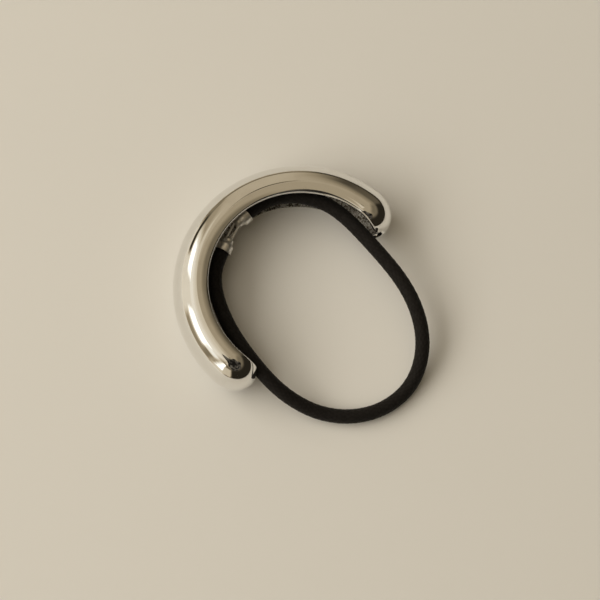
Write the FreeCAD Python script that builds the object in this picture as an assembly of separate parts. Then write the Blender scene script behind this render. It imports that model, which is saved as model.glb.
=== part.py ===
import FreeCAD, Part
import math
import os

# Ponytail cuff: a hollow cast C that lies on its side, and the elastic loop in its channel.
# Millimetres. +Z is the axis of the ring of hair, the origin is that axis at the surface that
# the cuff rests on, the crown of the C faces -Y and its mouth faces +Y. Angles round the ring
# are counted from the crown, positive towards +X.

# The shell: an oval tube bent round the ring, with an oval dome on each end
RING_RADIUS = 24.9
HALF_DEPTH = 5.9
HALF_HEIGHT = 7.0
WALL = 0.9
DOME_LENGTH = 7.2
DOME_START_DEG = 87.6
MID_HEIGHT = HALF_HEIGHT

# The channel is open inwards of this radius, which leaves a lip above and a lip below
LIP_RADIUS = 22.5

# The round notch in each end, where the elastic leaves the channel
NOTCH_RADIUS = 2.15
NOTCH_X = 21.7
NOTCH_START_Y = 1.5
NOTCH_LENGTH = 9.0
NOTCH_LEAN_DEG = 8.0

# The elastic: corners of its route, from the right cap round the free loop to the left cap
CORD_DIAMETER = 3.5
CORD_REST = CORD_DIAMETER / 2
CORD_ROUTE = [
    (3.7, -20.9, MID_HEIGHT),
    (8.3, -19.8, MID_HEIGHT),
    (12.7, -16.8, MID_HEIGHT),
    (16.3, -11.8, MID_HEIGHT),
    (19.6, -4.4, MID_HEIGHT),
    (22.2, 7.4, MID_HEIGHT),
    (21.8, 15.0, 4.2),
    (19.5, 22.4, CORD_REST),
    (14.8, 29.3, CORD_REST),
    (7.8, 33.8, CORD_REST),
    (-0.5, 35.0, 1.9),
    (-7.9, 32.1, 4.2),
    (-13.6, 26.2, 6.1),
    (-17.6, 17.8, MID_HEIGHT),
    (-19.8, 6.5, MID_HEIGHT),
    (-21.3, -5.8, MID_HEIGHT),
    (-19.2, -13.4, MID_HEIGHT),
    (-14.6, -19.2, MID_HEIGHT),
    (-8.6, -22.1, MID_HEIGHT),
    (-3.9, -22.4, MID_HEIGHT),
]
ARC_SHARE = 0.45

# The crimp caps: a sleeve over the end of the elastic that narrows to a slotted eye
CAP_RADIUS = 2.12
CAP_BEAD = 0.13
CAP_EYE_RADIUS = 1.45
CAP_EYE_BEVEL = 0.48
CAP_LENGTH = 3.75
SOCKET_DEPTH = 1.75
SOCKET_RADIUS = CORD_DIAMETER / 2 + 0.06
SLOT_START = 2.0
SLOT_HEIGHT = 0.75
POST_DISTANCE = 2.95
POST_RADIUS = 0.26
POST_HALF_LENGTH = 1.3

# The link: round wire in a long loop over the post of each cap
LINK_WIRE_RADIUS = 0.27
LINK_BEND_RADIUS = 0.62


def vec(x, y, z):
    """A point or a direction."""
    return FreeCAD.Vector(x, y, z)


def round_the_ring(degrees):
    """Unit vector from the ring's axis outwards, at an angle counted from the crown."""
    a = math.radians(degrees - 90)
    return vec(math.cos(a), math.sin(a), 0)


def end_dome(side, depth, length, height):
    """Half an oval egg on one end of the tube: a half ball stretched in all three directions."""
    outwards = round_the_ring(side * DOME_START_DEG)
    onwards = vec(0, 0, side).cross(outwards)
    centre = outwards * RING_RADIUS
    ball = Part.makeSphere(1, vec(0, 0, 0), vec(0, 0, 1), -90, 90, 180)
    return ball.transformGeometry(FreeCAD.Matrix(
        outwards.x * depth, onwards.x * length, 0, centre.x,
        outwards.y * depth, onwards.y * length, 0, centre.y,
        0, 0, height, MID_HEIGHT,
        0, 0, 0, 1,
    ))


def oval_capsule(shrink):
    """An oval tube bent round the ring with a dome on each end, all its walls moved inwards."""
    depth = HALF_DEPTH - shrink
    height = HALF_HEIGHT - shrink
    outwards = round_the_ring(-DOME_START_DEG)
    centre = outwards * RING_RADIUS + vec(0, 0, MID_HEIGHT)
    oval = Part.Ellipse(centre + vec(0, 0, height), centre + outwards * depth, centre)
    section = Part.Face(Part.Wire([oval.toShape()]))
    tube = section.revolve(vec(0, 0, 0), vec(0, 0, 1), 2 * DOME_START_DEG)
    domes = [end_dome(side, depth, DOME_LENGTH - shrink, height) for side in (-1, 1)]
    return tube.fuse(domes).removeSplitter()


def notch_cutter(side):
    """A round bar through one end wall, leaning outwards, where the elastic passes."""
    lean = math.radians(NOTCH_LEAN_DEG)
    start = vec(side * NOTCH_X, NOTCH_START_Y, MID_HEIGHT)
    outwards = vec(side * math.sin(lean), math.cos(lean), 0)
    return Part.makeCylinder(NOTCH_RADIUS, NOTCH_LENGTH, start, outwards)


def cuff_shell():
    """The cast C: the outer capsule less the cavity, the mouth of the channel and the notches."""
    outside = oval_capsule(0)
    cavity = oval_capsule(WALL)
    mouth = Part.makeCylinder(LIP_RADIUS, 4 * HALF_HEIGHT, vec(0, 0, -HALF_HEIGHT))
    shell = outside.cut(cavity).cut(mouth)
    for side in (-1, 1):
        shell = shell.cut(notch_cutter(side))
    return shell


def rounded_path(points):
    """Straight runs joined by tangent arcs through the corners of a route, and the arc radii."""
    edges = []
    radii = []
    last = points[0]
    for before, corner, after in zip(points, points[1:], points[2:]):
        back = before - corner
        on = after - corner
        reach = ARC_SHARE * min(back.Length, on.Length)
        half_turn = (math.pi - back.getAngle(on)) / 2
        radius = reach / math.tan(half_turn)
        back.normalize()
        on.normalize()
        start = corner + back * reach
        end = corner + on * reach
        bisector = back + on
        bisector.normalize()
        crest = corner + bisector * (radius / math.cos(half_turn) - radius)
        edges.append(Part.LineSegment(last, start).toShape())
        edges.append(Part.Arc(start, crest, end).toShape())
        radii.append(radius)
        last = end
    edges.append(Part.LineSegment(last, points[-1]).toShape())
    return Part.Wire(edges), radii


def swept_tube(path, radius):
    """A round bar along a path."""
    first = path.OrderedEdges[0]
    start = first.valueAt(first.FirstParameter)
    heading = first.tangentAt(first.FirstParameter)
    ring = Part.Wire([Part.Circle(start, heading, radius).toShape()])
    return path.makePipeShell([ring], True, False)


def elastic_band():
    """The elastic, from the socket of one cap to the socket of the other."""
    path, radii = rounded_path([vec(*point) for point in CORD_ROUTE])
    band = swept_tube(path, CORD_DIAMETER / 2)
    print("elastic length", round(path.Length, 2), "smallest radius", round(min(radii), 2))
    print("elastic radii", [round(r, 1) for r in radii])
    expected = math.pi * (CORD_DIAMETER / 2) ** 2 * path.Length
    print("elastic volume over section times length", round(band.Volume / expected, 4))
    return band


def cap_frame(end, neighbour):
    """The mouth of a cap and the direction from its mouth to its eye, from the elastic's end."""
    inwards = vec(*end) - vec(*neighbour)
    inwards.normalize()
    mouth = vec(*end) - inwards * SOCKET_DEPTH
    return mouth, inwards


def cord_cap(mouth, inwards):
    """A crimp cap: a revolved sleeve with a rolled rim, a socket, and a slot round a post."""
    profile = [
        vec(0, 0, 0),
        vec(CAP_RADIUS + CAP_BEAD, 0, 0),
        vec(CAP_RADIUS + CAP_BEAD, 0, 2 * CAP_BEAD),
        vec(CAP_RADIUS, 0, 3 * CAP_BEAD),
        vec(CAP_RADIUS, 0, SOCKET_DEPTH),
        vec(CAP_EYE_RADIUS, 0, SLOT_START + SLOT_HEIGHT),
        vec(CAP_EYE_RADIUS, 0, CAP_LENGTH - CAP_EYE_BEVEL),
        vec(CAP_EYE_RADIUS - CAP_EYE_BEVEL, 0, CAP_LENGTH),
        vec(0, 0, CAP_LENGTH),
        vec(0, 0, 0),
    ]
    body = Part.Face(Part.makePolygon(profile)).revolve(vec(0, 0, 0), vec(0, 0, 1), 360)
    body = body.cut(Part.makeCylinder(SOCKET_RADIUS, SOCKET_DEPTH))
    width = 3 * CAP_RADIUS
    slot = Part.makeBox(SLOT_HEIGHT, width, width, vec(-SLOT_HEIGHT / 2, -width / 2, SLOT_START))
    post_foot = vec(-POST_HALF_LENGTH, 0, POST_DISTANCE)
    post = Part.makeCylinder(POST_RADIUS, 2 * POST_HALF_LENGTH, post_foot, vec(1, 0, 0))
    body = body.cut(slot).fuse(post).removeSplitter()
    across = vec(0, 0, 1).cross(inwards)
    placed = FreeCAD.Matrix(
        0, across.x, inwards.x, mouth.x,
        0, across.y, inwards.y, mouth.y,
        1, across.z, inwards.z, mouth.z,
        0, 0, 0, 1,
    )
    return body.transformed(placed)


def cap_link(from_post, to_post):
    """A wire loop over both posts: two straight rods and two half turns."""
    along = to_post - from_post
    along.normalize()
    aside = vec(0, 0, 1).cross(along) * LINK_BEND_RADIUS
    beyond = along * LINK_BEND_RADIUS
    edges = [
        Part.LineSegment(from_post - aside, to_post - aside).toShape(),
        Part.Arc(to_post - aside, to_post + beyond, to_post + aside).toShape(),
        Part.LineSegment(to_post + aside, from_post + aside).toShape(),
        Part.Arc(from_post + aside, from_post - beyond, from_post - aside).toShape(),
    ]
    return swept_tube(Part.Wire(edges), LINK_WIRE_RADIUS)


def main():
    """Build every piece and write one STEP file for each."""
    right_mouth, right_way = cap_frame(CORD_ROUTE[0], CORD_ROUTE[1])
    left_mouth, left_way = cap_frame(CORD_ROUTE[-1], CORD_ROUTE[-2])
    pieces = {
        "cuff_shell": cuff_shell(),
        "elastic_band": elastic_band(),
        "cord_cap_right": cord_cap(right_mouth, right_way),
        "cord_cap_left": cord_cap(left_mouth, left_way),
        "cap_link": cap_link(
            left_mouth + left_way * POST_DISTANCE, right_mouth + right_way * POST_DISTANCE
        ),
    }
    os.makedirs("parts", exist_ok=True)
    for name, shape in pieces.items():
        solids = shape.Solids
        box = shape.optimalBoundingBox(False, False)
        print(name, "valid", shape.isValid(), "solids", len(solids), "volume", round(shape.Volume, 1))
        print("  x", round(box.XMin, 2), round(box.XMax, 2), "y", round(box.YMin, 2), round(box.YMax, 2))
        print("  z", round(box.ZMin, 3), round(box.ZMax, 3))
        solids[0].exportStep(os.path.join("parts", name + ".step"))


main()
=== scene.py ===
"""Ponytail cuff: a polished cast C with a black elastic loop in its channel.

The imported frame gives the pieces' places. This script dresses them: the cast C and the
elastic are worked out afresh as parametric surfaces, and the caps and their link keep the
frame's own meshes. Everything is in metres. +Z is the axis of the ring of hair, the crown
of the C faces -Y and its mouth faces +Y.
"""
import logging
import math
from dataclasses import dataclass, field
from enum import Enum

import bmesh
import bpy
import numpy as np
from mathutils import Matrix, Vector


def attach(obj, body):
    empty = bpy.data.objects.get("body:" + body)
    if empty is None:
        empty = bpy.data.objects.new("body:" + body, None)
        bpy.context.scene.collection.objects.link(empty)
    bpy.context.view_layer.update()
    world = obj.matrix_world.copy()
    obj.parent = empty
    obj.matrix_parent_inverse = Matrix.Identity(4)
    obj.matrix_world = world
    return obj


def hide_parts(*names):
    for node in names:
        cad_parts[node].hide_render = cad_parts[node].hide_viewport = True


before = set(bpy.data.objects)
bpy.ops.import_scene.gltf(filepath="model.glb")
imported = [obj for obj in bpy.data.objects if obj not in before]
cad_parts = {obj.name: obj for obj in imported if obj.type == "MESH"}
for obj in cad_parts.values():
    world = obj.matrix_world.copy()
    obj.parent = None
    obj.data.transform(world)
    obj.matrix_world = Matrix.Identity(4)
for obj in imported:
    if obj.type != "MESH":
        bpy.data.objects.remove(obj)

LOG = logging.getLogger("ponytail_cuff")
MM = 0.001
MID_HEIGHT = 7.0 * MM
WELD_DISTANCE = 1e-3 * MM
BODY = "root"

Colour = tuple[float, float, float, float]
Point = tuple[float, float, float]
Pair = tuple[float, float]


class ShellZone(Enum):
    """The two finishes of the casting, by material slot of its mesh."""

    POLISHED = 0
    AS_CAST = 1


# Node and mesh helpers


class NodeSheet:
    """A shader node tree that is being laid out."""

    def __init__(self, tree: bpy.types.NodeTree) -> None:
        """Starts with an empty tree.

        Args:
            tree: The node tree of a material or a world.
        """
        self.tree = tree
        tree.nodes.clear()

    def add(self, kind: str, inputs: dict | None = None, **settings: object) -> bpy.types.Node:
        """Adds one node and sets it up.

        Args:
            kind: Blender's name of the node type.
            inputs: Socket name or index to a value, or to a socket that feeds it.
            settings: Properties of the node itself.

        Returns:
            The new node.
        """
        node = self.tree.nodes.new(kind)
        for name, value in settings.items():
            setattr(node, name, value)
        for key, value in (inputs or {}).items():
            if isinstance(value, bpy.types.NodeSocket):
                self.tree.links.new(value, node.inputs[key])
            else:
                node.inputs[key].default_value = value
        return node

    def math(self, operation: str, first: object, second: object = 0.0) -> bpy.types.NodeSocket:
        """Adds a Math node and returns its result socket."""
        return self.add("ShaderNodeMath", {0: first, 1: second}, operation=operation).outputs[0]

    def ramp(self, value: object, low: float, high: float, to_low: float = 0.0,
             to_high: float = 1.0, smooth: bool = True) -> bpy.types.NodeSocket:
        """Maps a value from one range to another, held at both ends.

        Args:
            value: The socket that is mapped.
            low: The value that becomes to_low.
            high: The value that becomes to_high.
            to_low: The result at and below low.
            to_high: The result at and above high.
            smooth: True for a soft S curve, False for a straight one.

        Returns:
            The mapped socket.
        """
        kind = "SMOOTHSTEP" if smooth else "LINEAR"
        ends = {"From Min": low, "From Max": high, "To Min": to_low, "To Max": to_high}
        node = self.add("ShaderNodeMapRange", {"Value": value, **ends}, interpolation_type=kind)
        return node.outputs["Result"]

    def mix(self, share: object, first: object, second: object) -> bpy.types.NodeSocket:
        """Mixes two colours by a share and returns the colour socket."""
        node = self.add("ShaderNodeMix", {0: share, 6: first, 7: second}, data_type="RGBA")
        return node.outputs[2]

    def noise(self, place: bpy.types.NodeSocket, scale: float, detail: float = 2.0,
              roughness: float = 0.5) -> bpy.types.NodeSocket:
        """Adds a Noise Texture.

        Args:
            place: The coordinates that it reads.
            scale: Its grains in a metre.
            detail: Its count of finer layers.
            roughness: How strong the finer layers are.

        Returns:
            Its grey value.
        """
        node = self.add("ShaderNodeTexNoise",
                        {"Vector": place, "Scale": scale, "Detail": detail, "Roughness": roughness})
        return node.outputs["Fac"]

    def place(self) -> bpy.types.NodeSocket:
        """Adds the piece's own coordinates, in metres."""
        return self.add("ShaderNodeTexCoord").outputs["Object"]

    def bump(self, height: bpy.types.NodeSocket, distance: float, strength: float = 1.0,
             normal: bpy.types.NodeSocket | None = None) -> bpy.types.NodeSocket:
        """Adds a Bump node.

        Args:
            height: The grey value that is the relief.
            distance: How high the relief stands.
            strength: How much of it shows.
            normal: Another relief that this one lies on.

        Returns:
            The bent normal.
        """
        inputs = {"Strength": strength, "Distance": distance, "Height": height}
        if normal is not None:
            inputs["Normal"] = normal
        return self.add("ShaderNodeBump", inputs).outputs[0]

    def surface(self, inputs: dict, kind: str = "ShaderNodeBsdfPrincipled") -> None:
        """Adds a shader and makes it the material's surface.

        Args:
            inputs: The shader's socket names to values, or to sockets that feed them.
            kind: Blender's name of the shader.
        """
        shader = self.add(kind, inputs)
        self.add("ShaderNodeOutputMaterial", {"Surface": shader.outputs[0]})


def new_material(name: str) -> tuple[bpy.types.Material, NodeSheet]:
    """Makes an empty node material.

    Args:
        name: The name of the material.

    Returns:
        The material and the sheet of its node tree.
    """
    material = bpy.data.materials.new(name)
    material.use_nodes = True
    return material, NodeSheet(material.node_tree)


def grid_faces(rows: int, columns: int, wrap_rows: bool) -> np.ndarray:
    """Four corners of each cell of a grid of points, row by row.

    Args:
        rows: Points along the first parameter.
        columns: Points along the second parameter.
        wrap_rows: True where the last row joins the first.

    Returns:
        An array of vertex numbers, four to a face.
    """
    row = np.arange(rows if wrap_rows else rows - 1)[:, None]
    column = np.arange(columns - 1)[None, :]
    following = (row + 1) % rows
    corners = (row * columns + column, row * columns + column + 1,
               following * columns + column + 1, following * columns + column)
    return np.stack(np.broadcast_arrays(*corners), axis=-1).reshape(-1, 4)


def mesh_from_arrays(name: str, points: np.ndarray, faces: np.ndarray) -> bpy.types.Mesh:
    """Puts arrays of points and four-cornered faces into a new mesh.

    Args:
        name: The name of the mesh.
        points: Coordinates, one row a point.
        faces: Vertex numbers, one row a face.

    Returns:
        The mesh, shaded smooth.
    """
    mesh = bpy.data.meshes.new(name)
    mesh.vertices.add(len(points))
    mesh.vertices.foreach_set("co", np.ascontiguousarray(points, dtype=np.float32).ravel())
    mesh.loops.add(faces.size)
    mesh.loops.foreach_set("vertex_index", np.ascontiguousarray(faces, dtype=np.int32).ravel())
    mesh.polygons.add(len(faces))
    mesh.polygons.foreach_set("loop_start", np.arange(len(faces), dtype=np.int32) * 4)
    mesh.polygons.foreach_set("loop_total", np.full(len(faces), 4, dtype=np.int32))
    mesh.update(calc_edges=True)
    mesh.polygons.foreach_set("use_smooth", np.ones(len(faces), dtype=bool))
    return mesh


def close_mesh(mesh: bpy.types.Mesh) -> None:
    """Welds the seams and poles of a mesh and turns its faces outwards.

    Args:
        mesh: The mesh, which is changed in its place.
    """
    work = bmesh.new()
    work.from_mesh(mesh)
    bmesh.ops.remove_doubles(work, verts=work.verts, dist=WELD_DISTANCE)
    bmesh.ops.recalc_face_normals(work, faces=work.faces)
    work.to_mesh(mesh)
    work.free()
    mesh.update()


def add_piece(name: str, mesh: bpy.types.Mesh) -> bpy.types.Object:
    """Puts a mesh into the scene as a piece at the origin.

    Args:
        name: The name of the piece.
        mesh: Its mesh, with its place in it.

    Returns:
        The piece.
    """
    piece = bpy.data.objects.new(name, mesh)
    bpy.context.scene.collection.objects.link(piece)
    return piece


# Finishes


@dataclass(frozen=True)
class PolishedAlloy:
    """Mirror-polished plated casting with a faint waviness and rubbed patches.

    Attributes:
        tone: Colour of the plating.
        worn_tone: Colour where it is rubbed.
        roughness: Least and most roughness.
        patch_scale: Rubbed patches in a metre.
        wave_scale: Waves of the polish in a metre.
        wave_height: Height of the waves.
        pit_scale: Fine pits in a metre.
        pit_height: Depth of the pits.
    """

    tone: Colour = (0.86, 0.855, 0.84, 1.0)
    worn_tone: Colour = (0.82, 0.81, 0.79, 1.0)
    roughness: Pair = (0.03, 0.07)
    patch_scale: float = 240.0
    wave_scale: float = 170.0
    wave_height: float = 0.022 * MM
    pit_scale: float = 1500.0
    pit_height: float = 0.0008 * MM

    def material(self) -> bpy.types.Material:
        """Builds the material.

        Returns:
            The material.
        """
        material, sheet = new_material("polished_alloy")
        place = sheet.place()
        patches = sheet.noise(place, self.patch_scale, 3.0)
        waves = sheet.bump(sheet.noise(place, self.wave_scale, 1.0, 0.35), self.wave_height)
        sheet.surface({
            "Metallic": 1.0,
            "Base Color": sheet.mix(sheet.ramp(patches, 0.45, 0.75), self.tone, self.worn_tone),
            "Roughness": sheet.ramp(patches, 0.35, 0.7, *self.roughness),
            "Normal": sheet.bump(sheet.noise(place, self.pit_scale), self.pit_height, normal=waves),
        })
        return material


@dataclass(frozen=True)
class AsCastAlloy:
    """The unpolished wall of the channel: grainy, grey and brown in its pits, and its near-white
    grain tops are painted glints.

    Attributes:
        bright: Colour of the grains' tops, near white as a painted glint.
        dark: Colour of the pits.
        metallic: Share of bare metal.
        roughness: Roughness of the pits and of the tops.
        grain_scale: Grains in a metre.
        grain_height: Height of the grains.
        blotch_scale: Darker blotches in a metre.
    """

    bright: Colour = (1.0, 0.985, 0.95, 1.0)
    dark: Colour = (0.14, 0.12, 0.10, 1.0)
    metallic: float = 0.6
    roughness: Pair = (0.55, 0.2)
    grain_scale: float = 1850.0
    grain_height: float = 0.12 * MM
    blotch_scale: float = 420.0

    def material(self) -> bpy.types.Material:
        """Builds the material.

        Returns:
            The material.
        """
        material, sheet = new_material("as_cast_alloy")
        place = sheet.place()
        grain = sheet.noise(place, self.grain_scale, 3.0, 0.6)
        blotch = sheet.ramp(sheet.noise(place, self.blotch_scale, 3.0), 0.3, 0.6, 0.5, 1.0)
        # Painted glints: a narrow step of the grain makes the tops near white against the dark
        # brown pits.
        tone = sheet.math("MULTIPLY", sheet.ramp(grain, 0.4, 0.58), blotch)
        sheet.surface({
            "Metallic": self.metallic,
            "Base Color": sheet.mix(tone, self.dark, self.bright),
            "Roughness": sheet.ramp(grain, 0.3, 0.7, *self.roughness),
            "Normal": sheet.bump(grain, self.grain_height),
        })
        return material


@dataclass(frozen=True)
class BraidedYarn:
    """Matt black yarn: fine fibres that run along each strand of the braid, with painted shade in
    the grooves between strands.

    Attributes:
        crest: Colour on the strands.
        groove: Colour between them, painted shade in the grooves.
        roughness: Least and most roughness.
        fibre_stretch: How much finer the fibres are across than along.
        fibre_height: Height of the fibres.
        dust_scale: Duller specks in a metre.
    """

    crest: Colour = (0.0125, 0.0105, 0.0095, 1.0)
    groove: Colour = (0.004, 0.0034, 0.003, 1.0)
    roughness: Pair = (0.62, 0.85)
    fibre_stretch: Point = (9.0, 260.0, 1.0)
    fibre_height: float = 0.05 * MM
    dust_scale: float = 900.0

    def material(self) -> bpy.types.Material:
        """Builds the material, which reads the relief attribute and the UV map of the braid.

        Returns:
            The material.
        """
        material, sheet = new_material("black_elastic")
        relief = sheet.add("ShaderNodeAttribute", attribute_name="relief").outputs["Fac"]
        braid = sheet.add("ShaderNodeUVMap", uv_map="braid").outputs[0]
        along = sheet.add("ShaderNodeMapping", {"Vector": braid, "Scale": self.fibre_stretch})
        fibres = sheet.noise(along.outputs[0], 9.0, 3.0, 0.6)
        dust = sheet.noise(sheet.place(), self.dust_scale, 3.0, 0.6)
        # Painted shade: the colour darkens from crest to groove with the braid's relief.
        tone = sheet.math("MULTIPLY", relief, sheet.ramp(fibres, 0.3, 0.7, 0.45, 1.0))
        sheet.surface({
            "Base Color": sheet.mix(tone, self.groove, self.crest),
            "Roughness": sheet.ramp(dust, 0.3, 0.7, *self.roughness),
            "Specular IOR Level": 0.22,
            "Sheen Weight": 0.04,
            "Sheen Roughness": 0.5,
            "Normal": sheet.bump(fibres, self.fibre_height, 0.8),
        })
        return material


@dataclass(frozen=True)
class PlatedSteel:
    """Bright plated steel, scuffed by the press or the drawing plate.

    Attributes:
        name: Name of the material.
        tone: Colour of the plating.
        scuffed: Colour of the scuffs.
        metallic: Share of bare metal.
        roughness: Least and most roughness.
        scuff_scale: Scuffs in a metre.
        scuff_height: Depth of the scuffs.
    """

    name: str = "cap_metal"
    tone: Colour = (0.93, 0.92, 0.89, 1.0)
    scuffed: Colour = (0.74, 0.71, 0.66, 1.0)
    metallic: float = 0.85
    roughness: Pair = (0.28, 0.48)
    scuff_scale: float = 1300.0
    scuff_height: float = 0.02 * MM

    def material(self) -> bpy.types.Material:
        """Builds the material.

        Returns:
            The material.
        """
        material, sheet = new_material(self.name)
        scuffs = sheet.noise(sheet.place(), self.scuff_scale, 3.0, 0.6)
        sheet.surface({
            "Metallic": self.metallic,
            "Base Color": sheet.mix(sheet.ramp(scuffs, 0.45, 0.7), self.tone, self.scuffed),
            "Roughness": sheet.ramp(scuffs, 0.35, 0.7, *self.roughness),
            "Normal": sheet.bump(scuffs, self.scuff_height, 0.6),
        })
        return material


@dataclass(frozen=True)
class PaperFloor:
    """A plain pale floor with a hardly visible tooth.

    Attributes:
        tone: Its main colour.
        shade: The colour of its faint clouds.
        cloud_scale: Clouds in a metre.
        tooth_scale: Bumps of the tooth in a metre.
        tooth_height: Height of the tooth.
    """

    tone: Colour = (0.74, 0.735, 0.725, 1.0)
    shade: Colour = (0.72, 0.715, 0.705, 1.0)
    cloud_scale: float = 14.0
    tooth_scale: float = 2600.0
    tooth_height: float = 0.03 * MM

    def material(self) -> bpy.types.Material:
        """Builds the material.

        Returns:
            The material.
        """
        material, sheet = new_material("pale_floor")
        place = sheet.place()
        clouds = sheet.noise(place, self.cloud_scale, 4.0)
        sheet.surface({
            "Base Color": sheet.mix(clouds, self.tone, self.shade),
            "Roughness": 0.65,
            "Specular IOR Level": 0.3,
            "Normal": sheet.bump(sheet.noise(place, self.tooth_scale), self.tooth_height, 0.25),
        })
        return material


@dataclass(frozen=True)
class ShadeCardGlow:
    """The faint glow of the shade, nearly black and lighter in soft patches: a painted reflection,
    as only polished metal shows the shade.

    Attributes:
        tone: Tint of what little light it gives.
        glow: Least and most light that it gives.
        patch_scale: Patches in a metre.
    """

    tone: Colour = (1.15, 1.0, 0.8, 1.0)
    glow: Pair = (0.008, 0.11)
    patch_scale: float = 42.0

    def material(self) -> bpy.types.Material:
        """Builds the material.

        Returns:
            The material.
        """
        material, sheet = new_material("shade_card_glow")
        # Painted reflection: the glow is stronger in soft patches.
        glow_patches = sheet.ramp(sheet.noise(sheet.place(), self.patch_scale, 3.0), 0.42, 0.68, *self.glow)
        sheet.surface({"Color": self.tone, "Strength": glow_patches}, "ShaderNodeEmission")
        return material


# The pieces


@dataclass
class CuffShell:
    """The cast C: an oval tube bent round the ring, hollow, domed at both ends, open inwards.

    Attributes:
        ring_radius: From the ring's axis to the middle of the tube.
        half_depth: Half the tube's depth, straight out from the axis.
        half_height: Half the tube's height.
        dome_length: How far a dome goes on past the end of the tube.
        wall: Thickness of the casting.
        dome_start_deg: Where the domes begin, round from the crown.
        lip_radius: The lips' distance from the axis.
        notch_radius: Radius of the notch that lets the elastic out.
        notch_x: The notch's distance to the side.
        notch_y: Where the line of the notch has that distance.
        notch_lean_deg: How far that line leans outwards.
        nose_blend: How far the noses between mouth and notch are rounded.
        outer_round: Rounding of the lip's outer edge.
        inner_round: Rounding of its inner edge.
        tube_steps: Meridians along one half of the tube.
        dome_steps: Meridians of a dome.
        skin_rows: Points of a meridian on the outer skin.
        bend_rows: Points of a meridian on a rounding.
        face_rows: Points of a meridian on the lip's flat face.
        lining_rows: Points of a meridian on the lining.
        search_from: First angle at which a meridian is searched for the opening.
        search_steps: Samples of that search.
        probe_angle: Small angle that measures how a meridian stretches.
    """

    ring_radius: float = 24.9 * MM
    half_depth: float = 5.9 * MM
    half_height: float = 7.0 * MM
    dome_length: float = 7.2 * MM
    wall: float = 0.9 * MM
    dome_start_deg: float = 87.6
    lip_radius: float = 22.5 * MM
    notch_radius: float = 2.15 * MM
    notch_x: float = 21.7 * MM
    notch_y: float = 1.5 * MM
    notch_lean_deg: float = 8.0
    nose_blend: float = 0.12 * MM
    outer_round: float = 0.34 * MM
    inner_round: float = 0.2 * MM
    tube_steps: int = 230
    dome_steps: int = 84
    skin_rows: int = 46
    bend_rows: int = 6
    face_rows: int = 2
    lining_rows: int = 24
    search_from: float = 0.5
    search_steps: int = 600
    probe_angle: float = 1e-3

    def meridians(self) -> tuple[np.ndarray, np.ndarray, np.ndarray]:
        """The lines from the back of the C to its mouth, once round the mouth.

        Along the tube a line is half a section, the upper half on the way out and the lower
        half on the way back. Over a dome it is half a slice through the radial axis, and the
        slices turn from upright to upright.

        Returns:
            For each line the angle round the ring, the turn of the slice and the side.
        """
        start, upright = math.radians(self.dome_start_deg), math.pi / 2
        tube = np.linspace(-start, start, self.tube_steps, endpoint=False)
        turn = np.linspace(upright, -upright, self.dome_steps, endpoint=False)
        along, dome = np.ones_like(tube), np.ones_like(turn)
        ring = np.concatenate([tube, start * dome, -tube, -start * dome])
        slices = np.concatenate([upright * along, turn, -upright * along, -turn])
        side = np.concatenate([along, dome, -along, -dome])
        return ring, slices, side

    def skin(self, angle: np.ndarray, shrink: float) -> np.ndarray:
        """Points of the oval skin, all its half axes made smaller by shrink.

        A point is ring centre line + outwards * depth * cos(angle)
        + (onwards * dome length * cos(slice) + up * height * sin(slice)) * sin(angle).

        Args:
            angle: Angle on each meridian from the back of the C, one row a meridian.
            shrink: How far the skin lies inside the outer one.

        Returns:
            Coordinates, one row a meridian.
        """
        ring, slices, side = (part[:, None] for part in self.meridians())
        outwards = np.stack([np.sin(ring), -np.cos(ring), np.zeros_like(ring)], axis=-1)
        onwards = np.stack([-outwards[..., 1] * side, outwards[..., 0] * side,
                            np.zeros_like(ring)], axis=-1)
        up = np.array([0.0, 0.0, 1.0])
        across = self.ring_radius + (self.half_depth - shrink) * np.cos(angle)
        ahead = (self.dome_length - shrink) * np.cos(slices) * np.sin(angle)
        above = MID_HEIGHT + (self.half_height - shrink) * np.sin(slices) * np.sin(angle)
        return outwards * across[..., None] + onwards * ahead[..., None] + up * above[..., None]

    def opening(self, points: np.ndarray) -> np.ndarray:
        """How far points lie outside the mouth of the channel and its two notches.

        The mouth is everything nearer to the axis than the lip radius. A notch is everything
        nearer to the leaning line of the elastic than the notch radius. The two are blended
        by a soft minimum, which rounds the noses between them.

        Args:
            points: Coordinates in any shape of array.

        Returns:
            The distance, negative inside the opening.
        """
        lean = math.radians(self.notch_lean_deg)
        from_axis = np.hypot(points[..., 0], points[..., 1]) - self.lip_radius
        aside = np.abs(points[..., 0]) - self.notch_x
        ahead = points[..., 1] - self.notch_y
        off_line = aside * math.cos(lean) - ahead * math.sin(lean)
        from_notch = np.hypot(off_line, points[..., 2] - MID_HEIGHT) - self.notch_radius
        blend = self.nose_blend
        return -blend * np.logaddexp(-from_axis / blend, -from_notch / blend)

    def edge_angle(self, shrink: float) -> np.ndarray:
        """The angle at which each meridian of a skin reaches the opening.

        Args:
            shrink: How far the skin lies inside the outer one.

        Returns:
            One angle a meridian, by a straight line between the two nearest samples.
        """
        count = len(self.meridians()[0])
        samples = np.linspace(self.search_from, math.pi, self.search_steps)
        angle = np.broadcast_to(samples, (count, self.search_steps))
        gap = self.opening(self.skin(angle, shrink))
        first = np.argmax(gap < 0.0, axis=1)
        each = np.arange(count)
        before, after = gap[each, first - 1], gap[each, first]
        share = before / (before - after)
        return angle[each, first - 1] + share * (angle[each, first] - angle[each, first - 1])

    def bend(self, start: np.ndarray, corner: np.ndarray, end: np.ndarray) -> np.ndarray:
        """A rounded corner: the parabola from start to end that the corner pulls.

        A point is start * (1 - t) squared + corner * 2 t (1 - t) + end * t squared.

        Args:
            start: Points where the rounding begins.
            corner: The sharp corner's points.
            end: Points where the rounding ends.

        Returns:
            Coordinates, one row a meridian and one column a step, without the two ends.
        """
        t = np.linspace(0.0, 1.0, self.bend_rows + 2)[1:-1][None, :, None]
        pulled = corner[:, None] * (2 * t * (1 - t))
        return start[:, None] * (1 - t) ** 2 + pulled + end[:, None] * t ** 2

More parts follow.
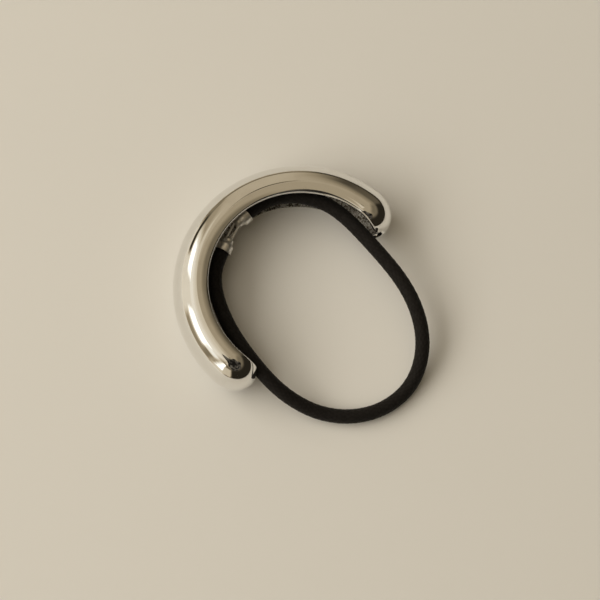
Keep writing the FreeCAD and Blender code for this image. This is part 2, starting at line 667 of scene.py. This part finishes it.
    def wall_sheet(self, shrink: float, rounding: float,
                   rows: int) -> tuple[np.ndarray, np.ndarray]:
        """One side of the wall, from the back of the C to where the lip's rounding begins.

        Args:
            shrink: How far the side lies inside the outer skin.
            rounding: Length of wall that the rounding of the lip takes up.
            rows: Points along each meridian.

        Returns:
            The sheet of points, and the sharp edge that it would reach without the rounding.
        """
        edge = self.edge_angle(shrink)[:, None]
        corner = self.skin(edge, shrink)
        nearby = self.skin(edge - self.probe_angle, shrink)
        stretch = np.linalg.norm(corner - nearby, axis=-1) / self.probe_angle
        last = edge - rounding / stretch
        return self.skin(last * np.linspace(0.0, 1.0, rows)[None, :], shrink), corner[:, 0]

    def mesh(self) -> bpy.types.Mesh:
        """The closed wall: outer skin, rounded lip and inner lining as one grid.

        The lip's flat face is the straight line between its two roundings.

        Returns:
            The mesh, with the lining in the second material slot.
        """
        outer, outer_corner = self.wall_sheet(0.0, self.outer_round, self.skin_rows)
        inner, inner_corner = self.wall_sheet(self.wall, self.inner_round, self.lining_rows)
        across = inner_corner - outer_corner
        across /= np.linalg.norm(across, axis=-1, keepdims=True)
        face_start = outer_corner + across * self.outer_round
        face_end = inner_corner - across * self.inner_round
        t = np.linspace(0.0, 1.0, self.face_rows)[None, :, None]
        face = face_start[:, None] * (1 - t) + face_end[:, None] * t
        grid = np.concatenate([
            outer, self.bend(outer[:, -1], outer_corner, face_start), face,
            self.bend(face_end, inner_corner, inner[:, -1]), inner[:, ::-1],
        ], axis=1)
        rows, columns = grid.shape[:2]
        faces = grid_faces(rows, columns, wrap_rows=True)
        mesh = mesh_from_arrays("cuff_shell_cast", grid.reshape(-1, 3), faces)
        lining = np.tile(np.arange(columns - 1) >= columns - self.lining_rows, rows)
        zone = np.where(lining, ShellZone.AS_CAST.value, ShellZone.POLISHED.value)
        mesh.polygons.foreach_set("material_index", zone.astype(np.int32))
        close_mesh(mesh)
        return mesh

    def build(self) -> bpy.types.Object:
        """Makes the piece, dresses it and puts it in the place of the plain solid.

        Returns:
            The finished piece.
        """
        mesh = self.mesh()
        mesh.materials.append(PolishedAlloy().material())
        mesh.materials.append(AsCastAlloy().material())
        piece = add_piece("cuff_shell_cast", mesh)
        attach(piece, BODY)
        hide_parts("cuff_shell")
        return piece


@dataclass
class ElasticBand:
    """The braided elastic, from the socket of the right cap round to the left cap's.

    Attributes:
        diameter: Thickness of the elastic.
        length: Its whole length. Not used.
        exit: Where it leaves the right cap. Not used.
        strands_each_way: Strands of the braid that wind round one way.
        cell_length: Half of the length of a crossing, along the elastic.
        relief_depth: From the crests of the braid to its grooves.
        strand_crown: How round a strand is across.
        strand_swell: How much a strand sinks where it goes under.
        stations: Rings of the mesh.
        round_steps: Points of a ring.
        route_steps: Points that Blender gives for each control point.
        route_mm: Control points of the centre line, in millimetres.
    """

    diameter: float = 3.5 * MM
    length: float = 153.0 * MM
    exit: Point = (0.0054, -0.0205, 0.007)
    strands_each_way: int = 12
    cell_length: float = 0.95 * MM
    relief_depth: float = 0.13 * MM
    strand_crown: float = 0.9
    strand_swell: float = 0.45
    stations: int = 1250
    round_steps: int = 72
    route_steps: int = 40
    route_mm: list[Point] = field(default_factory=lambda: [
        (3.7, -20.9, 7.0), (8.3, -19.8, 7.0), (12.7, -16.8, 7.0), (16.3, -11.8, 7.0),
        (19.6, -4.4, 7.0), (22.2, 7.4, 7.0), (21.8, 15.0, 4.2), (19.5, 22.4, 1.75),
        (14.8, 29.3, 1.75), (7.8, 33.8, 1.75), (-0.5, 35.0, 1.9), (-7.9, 32.1, 4.2),
        (-13.6, 26.2, 6.1), (-17.6, 17.8, 7.0), (-19.8, 6.5, 7.0), (-21.3, -5.8, 7.0),
        (-19.2, -13.4, 7.0), (-14.6, -19.2, 7.0), (-8.6, -22.1, 7.0), (-3.9, -22.4, 7.0),
    ])

    def centre_line(self) -> np.ndarray:
        """Points along the route's smooth curve, evenly spaced.

        The route's points are the control points of one open NURBS curve. Blender gives the
        points on it, and they are spread evenly by the length run so far.

        Returns:
            Coordinates, one row a station.
        """
        curve = bpy.data.curves.new("elastic_route", "CURVE")
        curve.dimensions = "3D"
        spline = curve.splines.new("NURBS")
        spline.points.add(len(self.route_mm) - 1)
        control = np.ones((len(self.route_mm), 4))
        control[:, :3] = np.array(self.route_mm) * MM
        spline.points.foreach_set("co", control.ravel())
        spline.order_u = 3
        spline.use_endpoint_u = True
        spline.resolution_u = self.route_steps
        holder = bpy.data.objects.new("elastic_route", curve)
        line = bpy.data.meshes.new_from_object(holder)
        points = np.empty(len(line.vertices) * 3)
        line.vertices.foreach_get("co", points)
        points = points.reshape(-1, 3)
        bpy.data.objects.remove(holder)
        bpy.data.meshes.remove(line)
        bpy.data.curves.remove(curve)
        run = np.concatenate([[0.0], np.cumsum(np.linalg.norm(np.diff(points, axis=0), axis=1))])
        even = np.linspace(0.0, run[-1], self.stations)
        return np.stack([np.interp(even, run, points[:, axis]) for axis in range(3)], axis=1)

    def relief(self, turn: np.ndarray, run: np.ndarray) -> np.ndarray:
        """Height of the braid, from 0 in a groove to 1 on a crest.

        Two sets of strands wind round in opposite ways. Their numbers u and v are the turn
        times the count of strands, plus or minus the run over twice the cell's length. In
        every other cell of u and v one set lies on top. The strand on top has the height
        root(1 - crown * across squared) * (1 - swell + swell * sin(half a turn * along)),
        with across from -1 to 1 over its width and along from 0 to 1 over the cell.

        Args:
            turn: Part of a full turn round the elastic.
            run: Length along the elastic.

        Returns:
            The height, in the shape of the two arrays together.
        """
        u = self.strands_each_way * turn + run / (2 * self.cell_length)
        v = self.strands_each_way * turn - run / (2 * self.cell_length)
        fu, fv = u - np.floor(u), v - np.floor(v)
        first_on_top = (np.floor(u) + np.floor(v)) % 2 < 1
        across = np.where(first_on_top, fu, fv) * 2 - 1
        along = np.where(first_on_top, fv, fu)
        crown = np.sqrt(np.clip(1 - self.strand_crown * across ** 2, 0.0, 1.0))
        swell = 1 - self.strand_swell + self.strand_swell * np.sin(np.pi * along)
        return crown * swell

    def mesh(self, line: np.ndarray) -> bpy.types.Mesh:
        """The tube round the line, with the braid as relief and both ends closed.

        A ring's point is centre + (aside * cos + over * sin) * radius, and the radius is the
        elastic's less the relief's depth times one minus its height. The first and last rings
        shrink to their centres.

        Args:
            line: The stations of the centre line.

        Returns:
            The closed mesh, with a UV map of turn and run and an attribute of the height.
        """
        heading = np.gradient(line, axis=0)
        heading /= np.linalg.norm(heading, axis=1, keepdims=True)
        aside = np.cross([0.0, 0.0, 1.0], heading)
        aside /= np.linalg.norm(aside, axis=1, keepdims=True)
        over = np.cross(heading, aside)
        run = np.concatenate([[0.0], np.cumsum(np.linalg.norm(np.diff(line, axis=0), axis=1))])
        turn = np.arange(self.round_steps) / self.round_steps
        height = self.relief(turn[None, :], run[:, None])
        radius = self.diameter / 2 - self.relief_depth * (1 - height)
        angle = 2 * math.pi * turn[None, :]
        cosine, sine = np.cos(angle)[..., None], np.sin(angle)[..., None]
        ring = aside[:, None] * cosine + over[:, None] * sine
        grid = line[:, None] + ring * radius[..., None]
        grid = np.concatenate([np.repeat(line[:1, None], self.round_steps, axis=1), grid,
                               np.repeat(line[-1:, None], self.round_steps, axis=1)])
        grid = grid.transpose(1, 0, 2)
        rows, columns = grid.shape[:2]
        faces = grid_faces(rows, columns, wrap_rows=True)
        mesh = mesh_from_arrays("elastic_band_braid", grid.reshape(-1, 3), faces)
        full_height = np.pad(height, ((1, 1), (0, 0)))
        mesh.attributes.new("relief", "FLOAT", "POINT").data.foreach_set(
            "value", full_height.T.ravel().astype(np.float32))
        full_run = np.pad(run, 1, mode="edge")
        cell = np.repeat(np.arange(rows), columns - 1)
        column = np.tile(np.arange(columns - 1), rows)
        around = np.stack([cell, cell, cell + 1, cell + 1], axis=1) / rows
        ahead = full_run[np.stack([column, column + 1, column + 1, column], axis=1)]
        uv = np.stack([around * math.pi * self.diameter, ahead], axis=-1)
        mesh.uv_layers.new(name="braid").data.foreach_set("uv", uv.astype(np.float32).ravel())
        close_mesh(mesh)
        return mesh

    def build(self) -> bpy.types.Object:
        """Returns:
            The finished piece.
        """
        line = self.centre_line()
        mesh = self.mesh(line)
        mesh.materials.append(BraidedYarn().material())
        piece = add_piece("elastic_band_braid", mesh)
        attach(piece, BODY)
        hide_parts("elastic_band")
        return piece


@dataclass
class CapJoint:
    """The two crimp caps and the wire link between them, kept as the frame has them.

    Attributes:
        caps: Names of the caps.
        link: Name of the link.
        pressed: Finish of the caps.
        drawn: Finish of the link.
    """

    caps: tuple[str, ...] = ("cord_cap_left", "cord_cap_right")
    link: str = "cap_link"
    pressed: PlatedSteel = PlatedSteel()
    drawn: PlatedSteel = PlatedSteel("link_wire", tone=(0.97, 0.96, 0.94, 1.0), metallic=0.3,
                                     roughness=(0.18, 0.3))

    def build(self) -> list[bpy.types.Object]:
        """Gives the frame's own pieces their metal.

        Returns:
            The dressed pieces.
        """
        pressed, drawn = self.pressed.material(), self.drawn.material()
        pieces = [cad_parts[name] for name in self.caps + (self.link,)]
        for piece in pieces:
            for slot in piece.material_slots:
                slot.material = drawn if piece.name == self.link else pressed
        return pieces


# The studio


@dataclass(frozen=True)
class SkyField:
    """One soft-edged field of the surroundings, by the direction in which it is seen.

    Attributes:
        azimuth: Direction of its middle, round from +X, in degrees.
        half_width: Half its width, in degrees.
        low: Elevation of its lower edge, in degrees.
        high: Elevation of its upper edge, in degrees.
        side_soft: How far its sides fade, in degrees.
        end_soft: How far its lower and upper edges fade, in degrees.
        level: How bright it is.
    """

    azimuth: float
    half_width: float
    low: float
    high: float
    side_soft: float
    end_soft: float
    level: float

    def share(self, sheet: NodeSheet, azimuth: bpy.types.NodeSocket,
              elevation: bpy.types.NodeSocket) -> bpy.types.NodeSocket:
        """How much a direction lies in the field, as a product of three soft steps.

        Args:
            sheet: The sheet of the world.
            azimuth: The direction's azimuth in degrees.
            elevation: Its elevation in degrees.

        Returns:
            A value from 0 outside to 1 inside.
        """
        side, end = self.side_soft / 2, self.end_soft / 2
        turn = {0: sheet.math("SUBTRACT", azimuth, self.azimuth), 1: 180.0, 2: -180.0}
        turned = sheet.add("ShaderNodeMath", turn, operation="WRAP").outputs[0]
        aside = sheet.math("ABSOLUTE", turned)
        within = sheet.ramp(aside, self.half_width + side, self.half_width - side)
        rising = sheet.ramp(elevation, self.low - end, self.low + end)
        falling = sheet.ramp(elevation, self.high + end, self.high - end)
        return sheet.math("MULTIPLY", within, sheet.math("MULTIPLY", rising, falling))


@dataclass(frozen=True)
class SoftLight:
    """One broad soft light that faces the object.

    Attributes:
        name: Its name.
        azimuth: Where it stands, round from +X, in degrees.
        elevation: How high it stands, in degrees.
        distance: How far away it stands.
        size: Its width and height.
        power: Its power in watts.
    """

    name: str
    azimuth: float
    elevation: float
    distance: float
    size: Pair
    power: float


@dataclass
class Studio:
    """A pale floor, a broad soft window light, the room round it and the camera.

    Attributes:
        camera_distance: From the camera to the middle of the ring.
        camera_tilt_deg: How far the view leans from upright.
        camera_foot_deg: The direction in which it leans, round from +X.
        camera_roll_deg: Where that direction points in the picture, round from its right.
        camera_clip: Nearest and furthest distance that the camera sees.
        frame_width: Width of the picture at that middle.
        frame_offset: How far right of that middle and above it the camera aims.
        floor_half: Half the floor's side.
        lights: The lights, which polished metal doesn't show.
        light_tone: Their colour.
        shade_centre: Middle of the shade.
        shade_half: Its half width, half depth and half thickness.
        shade_scallop: Shares by which the shade's rim swells, broad and fine.
        shade_waves: Swells round the rim, broad and fine.
        shade_steps: Points round the shade and from its foot to its top.
        wall_level: How bright the walls are.
        ceiling_level: How bright the ceiling is.
        ceiling_edge: Elevations from which and up to which the one becomes the other.
        dim_tint: Tint of the dark parts of the room.
        bright_tint: Tint of its bright parts.
        tint_levels: Levels from which and up to which the one becomes the other.
        backdrop: Colour that the camera sees past the floor.
        wobble_deg: How far the edges of the fields waver.
        wobble_scale: How close together they waver.
        fields: The fields of the room, each laid over those before it.
    """

    camera_distance: float = 0.45
    camera_tilt_deg: float = 16.0
    camera_foot_deg: float = 25.6
    camera_roll_deg: float = 255.0
    camera_clip: Pair = (0.01, 20.0)
    frame_width: float = 0.144
    frame_offset: Pair = (-0.36 * MM, -2.57 * MM)
    floor_half: float = 1.6
    lights: tuple[SoftLight, ...] = (
        SoftLight("window", 312.0, 37.0, 1.3, (1.9, 0.7), 12.4),
        SoftLight("overhead", 300.0, 68.0, 1.4, (1.5, 1.2), 2.4),
    )
    light_tone: Point = (1.0, 0.928, 0.795)
    shade_centre: Point = (0.060, 0.051, 0.110)
    shade_half: Point = (0.063, 0.063, 0.012)
    shade_scallop: Pair = (0.10, 0.07)
    shade_waves: tuple[int, int] = (3, 7)
    shade_steps: tuple[int, int] = (96, 25)
    wall_level: float = 0.03
    ceiling_level: float = 0.31
    ceiling_edge: Pair = (29.0, 66.0)
    dim_tint: Colour = (1.24, 1.0, 0.64, 1.0)
    bright_tint: Colour = (1.03, 0.985, 0.87, 1.0)
    tint_levels: Pair = (0.25, 0.95)
    backdrop: Colour = (0.61, 0.558, 0.445, 1.0)
    wobble_deg: float = 5.0
    wobble_scale: float = 7.0
    fields: tuple[SkyField, ...] = (
        # Towards the top of the picture: a grey wall, its dark foot and a dim corner
        SkyField(234.0, 24.0, -6.0, 72.0, 28.0, 6.0, 0.40),
        SkyField(232.0, 24.0, 4.0, 11.0, 14.0, 4.0, 0.12),
        SkyField(203.0, 9.0, -4.0, 9.0, 10.0, 4.0, 0.04),
        SkyField(180.0, 18.0, 10.0, 40.0, 12.0, 14.0, 0.085),
        # The bright wall on the picture's left, with a lighter band
        SkyField(296.0, 50.0, 54.0, 80.0, 10.0, 10.0, 0.58),
        SkyField(303.0, 40.0, -4.0, 66.0, 10.0, 12.0, 0.70),
        SkyField(303.0, 36.0, 44.0, 58.0, 8.0, 6.0, 0.80),
        # The panes of the window, and the light below the last
        SkyField(278.5, 8.5, 26.0, 47.0, 5.0, 5.0, 1.6),
        SkyField(320.0, 13.0, 24.0, 47.0, 5.0, 5.0, 1.6),
        SkyField(337.0, 6.0, 31.0, 44.0, 6.0, 6.0, 0.95),
        SkyField(354.0, 11.0, -3.0, 12.0, 8.0, 6.0, 0.62),
        SkyField(352.0, 6.0, 11.0, 43.0, 5.0, 5.0, 1.6),
        # Lit wall towards the bottom of the picture
        SkyField(12.0, 15.0, 2.0, 36.0, 8.0, 6.0, 0.52),
        SkyField(358.0, 10.0, 50.0, 67.0, 10.0, 8.0, 0.55),
        # Dark things before the window and beside it
        SkyField(337.0, 5.0, 2.0, 27.0, 6.0, 6.0, 0.18),
        SkyField(323.0, 12.0, 0.0, 18.0, 8.0, 8.0, 0.24),
        SkyField(256.0, 5.0, 22.0, 44.0, 6.0, 6.0, 0.29),
        SkyField(257.0, 7.0, 11.0, 20.0, 6.0, 5.0, 0.16),
        SkyField(268.5, 10.0, 8.0, 21.0, 5.0, 4.0, 0.03),
        # The dark side of the room, from the picture's right to its bottom
        SkyField(97.0, 66.0, -14.0, 41.0, 16.0, 22.0, 0.017),
        SkyField(125.0, 40.0, 44.0, 68.0, 40.0, 18.0, 0.14),
        SkyField(46.0, 16.0, 40.0, 65.0, 12.0, 8.0, 0.05),
        # Thin dark streaks high up
        SkyField(216.5, 5.5, 65.0, 69.0, 3.0, 2.0, 0.06),
        SkyField(301.0, 14.0, 81.5, 83.5, 6.0, 2.0, 0.06),
        SkyField(319.0, 5.0, 78.0, 80.5, 3.0, 2.0, 0.04),
        SkyField(329.5, 4.5, 73.0, 75.5, 3.0, 2.0, 0.04),
        SkyField(335.5, 4.0, 68.0, 71.0, 3.0, 2.0, 0.05),
        SkyField(341.0, 3.5, 63.0, 66.0, 3.0, 2.0, 0.10),
    )

    def axes(self) -> tuple[Vector, Vector, Vector]:
        """The camera's right, up and backwards directions at the photograph's angle.

        The camera leans from upright towards its foot direction, and is then rolled so that
        the lean lies at the roll angle in the picture.

        Returns:
            Three unit vectors.
        """
        tilt = math.radians(self.camera_tilt_deg)
        foot = math.radians(self.camera_foot_deg)
        roll = math.radians(self.camera_roll_deg)
        back = Vector((math.sin(tilt) * math.cos(foot), math.sin(tilt) * math.sin(foot),
                       math.cos(tilt)))
        leaning = Vector((math.cos(tilt) * math.cos(foot), math.cos(tilt) * math.sin(foot),
                          -math.sin(tilt)))
        level = Vector((-math.sin(foot), math.cos(foot), 0.0))
        right = leaning * math.cos(roll) - level * math.sin(roll)
        up = leaning * math.sin(roll) + level * math.cos(roll)
        return right, up, back

    def camera(self) -> bpy.types.Object:
        """Makes the camera, aims it and makes it the scene's.

        Returns:
            The camera.
        """
        right, up, back = self.axes()
        centre = Vector((0.0, 0.0, MID_HEIGHT))
        place = centre + back * self.camera_distance
        target = centre + right * self.frame_offset[0] + up * self.frame_offset[1]
        back = (place - target).normalized()
        right = (right - back * right.dot(back)).normalized()
        up = back.cross(right)
        data = bpy.data.cameras.new("camera")
        data.sensor_fit = "HORIZONTAL"
        data.angle = 2 * math.atan(self.frame_width / 2 / self.camera_distance)
        data.clip_start, data.clip_end = self.camera_clip
        camera = bpy.data.objects.new("camera", data)
        turned = Matrix((right, up, back)).transposed().to_4x4()
        camera.matrix_world = Matrix.Translation(place) @ turned
        bpy.context.scene.collection.objects.link(camera)
        bpy.context.scene.camera = camera
        return camera

    def floor(self) -> bpy.types.Object:
        """Makes the floor.

        Returns:
            The floor.
        """
        corners = np.array([(-1, -1, 0), (1, -1, 0), (1, 1, 0), (-1, 1, 0)]) * self.floor_half
        mesh = mesh_from_arrays("floor", corners, np.array([[0, 1, 2, 3]]))
        mesh.materials.append(PaperFloor().material())
        floor = add_piece("floor", mesh)
        return floor

    def light(self, plan: SoftLight) -> bpy.types.Object:
        """Makes one of the lights.

        Args:
            plan: Where it stands, and its size and power.

        Returns:
            The light.
        """
        azimuth, elevation = math.radians(plan.azimuth), math.radians(plan.elevation)
        reach, rise = math.cos(elevation), math.sin(elevation)
        towards = Vector((reach * math.cos(azimuth), reach * math.sin(azimuth), rise))
        data = bpy.data.lights.new(plan.name, "AREA")
        data.shape = "RECTANGLE"
        data.size, data.size_y = plan.size
        data.energy = plan.power
        data.color = self.light_tone
        light = bpy.data.objects.new(plan.name, data)
        turned = towards.to_track_quat("Z", "Y").to_matrix().to_4x4()
        light.matrix_world = Matrix.Translation(towards * plan.distance) @ turned
        light.visible_glossy = False
        bpy.context.scene.collection.objects.link(light)
        return light

    def shade(self) -> bpy.types.Object:
        """Makes the dark scalloped shade above the right end, which only polished metal shows.

        The rim swells by one share times the sine of the broad waves and another times that
        of the fine ones. A point is centre + (half width * swell * cos(around) * cos(height),
        half depth * swell * sin(around) * cos(height), half thickness * sin(height)).

        Returns:
            The shade.
        """
        steps_round, steps_up = self.shade_steps
        around = np.linspace(0, 2 * math.pi, steps_round, endpoint=False)[:, None]
        height = np.linspace(-math.pi / 2, math.pi / 2, steps_up)[None, :]
        swell = 1 + sum(share * np.sin(waves * around)
                        for share, waves in zip(self.shade_scallop, self.shade_waves))
        unit = np.broadcast_arrays(swell * np.cos(around) * np.cos(height),
                                   swell * np.sin(around) * np.cos(height), np.sin(height))
        points = np.stack(unit, axis=-1) * self.shade_half + self.shade_centre
        faces = grid_faces(steps_round, steps_up, wrap_rows=True)
        mesh = mesh_from_arrays("shade", points.reshape(-1, 3), faces)
        close_mesh(mesh)
        mesh.materials.append(ShadeCardGlow().material())
        shade = add_piece("shade", mesh)
        # The shade is a painted reflection: the camera, diffuse light and shadows don't see it,
        # only polished metal does.
        for kind in ("camera", "diffuse", "transmission", "volume_scatter", "shadow"):
            setattr(shade, "visible_" + kind, False)
        return shade

    def room(self) -> bpy.types.World:
        """Makes the surroundings: a ramp from dark walls to the ceiling, and soft fields on it.

        Each field moves the level towards its own by its share there.

        Returns:
            The world.
        """
        world = bpy.data.worlds.new("room")
        world.use_nodes = True
        sheet = NodeSheet(world.node_tree)
        direction = sheet.add("ShaderNodeTexCoord").outputs["Generated"]
        x, y, z = sheet.add("ShaderNodeSeparateXYZ", {0: direction}).outputs
        wave = sheet.noise(direction, self.wobble_scale, 4.0, 0.6)
        ripple = sheet.math("MULTIPLY", sheet.math("SUBTRACT", wave, 0.5), self.wobble_deg)
        bearing = sheet.math("DEGREES", sheet.math("ARCTAN2", y, x))
        azimuth = sheet.math("ADD", ripple, bearing)
        rise = sheet.math("DEGREES", sheet.math("ARCSINE", z))
        elevation = sheet.math("ADD", ripple, rise)
        level = sheet.ramp(elevation, *self.ceiling_edge, self.wall_level, self.ceiling_level,
                           smooth=False)
        for part in self.fields:
            share = part.share(sheet, azimuth, elevation)
            gain = sheet.math("MULTIPLY", share, sheet.math("SUBTRACT", part.level, level))
            level = sheet.math("ADD", level, gain)
        warmth = sheet.ramp(level, *self.tint_levels, smooth=False)
        tint = sheet.mix(warmth, self.dim_tint, self.bright_tint)
        colour = sheet.add("ShaderNodeVectorMath", {0: tint, "Scale": level}, operation="SCALE")
        lit = sheet.add("ShaderNodeBackground", {"Color": colour.outputs[0]})
        plain = sheet.add("ShaderNodeBackground", {"Color": self.backdrop})
        seen = sheet.add("ShaderNodeLightPath").outputs["Is Camera Ray"]
        shaders = {0: seen, 1: lit.outputs[0], 2: plain.outputs[0]}
        both = sheet.add("ShaderNodeMixShader", shaders)
        sheet.add("ShaderNodeOutputWorld", {"Surface": both.outputs[0]})
        bpy.context.scene.world = world
        return world

    def build(self) -> None:
        """Sets up the floor, the lights and the room, with plain colour handling."""
        self.floor()
        for plan in self.lights:
            self.light(plan)
        self.shade()
        self.room()
        bpy.context.scene.view_settings.view_transform = "Standard"


def main() -> None:
    """Builds the camera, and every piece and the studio."""
    logging.basicConfig(level=logging.INFO, format="%(message)s")
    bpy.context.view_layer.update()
    studio = Studio()
    studio.camera()
    band = ElasticBand().build()
    LOG.info("elastic band: %d faces", len(band.data.polygons))
    shell = CuffShell().build()
    LOG.info("cuff shell: %d faces", len(shell.data.polygons))
    for piece in CapJoint().build():
        LOG.info("%s: dressed", piece.name)
    studio.build()


if __name__ == "__main__":
    main()
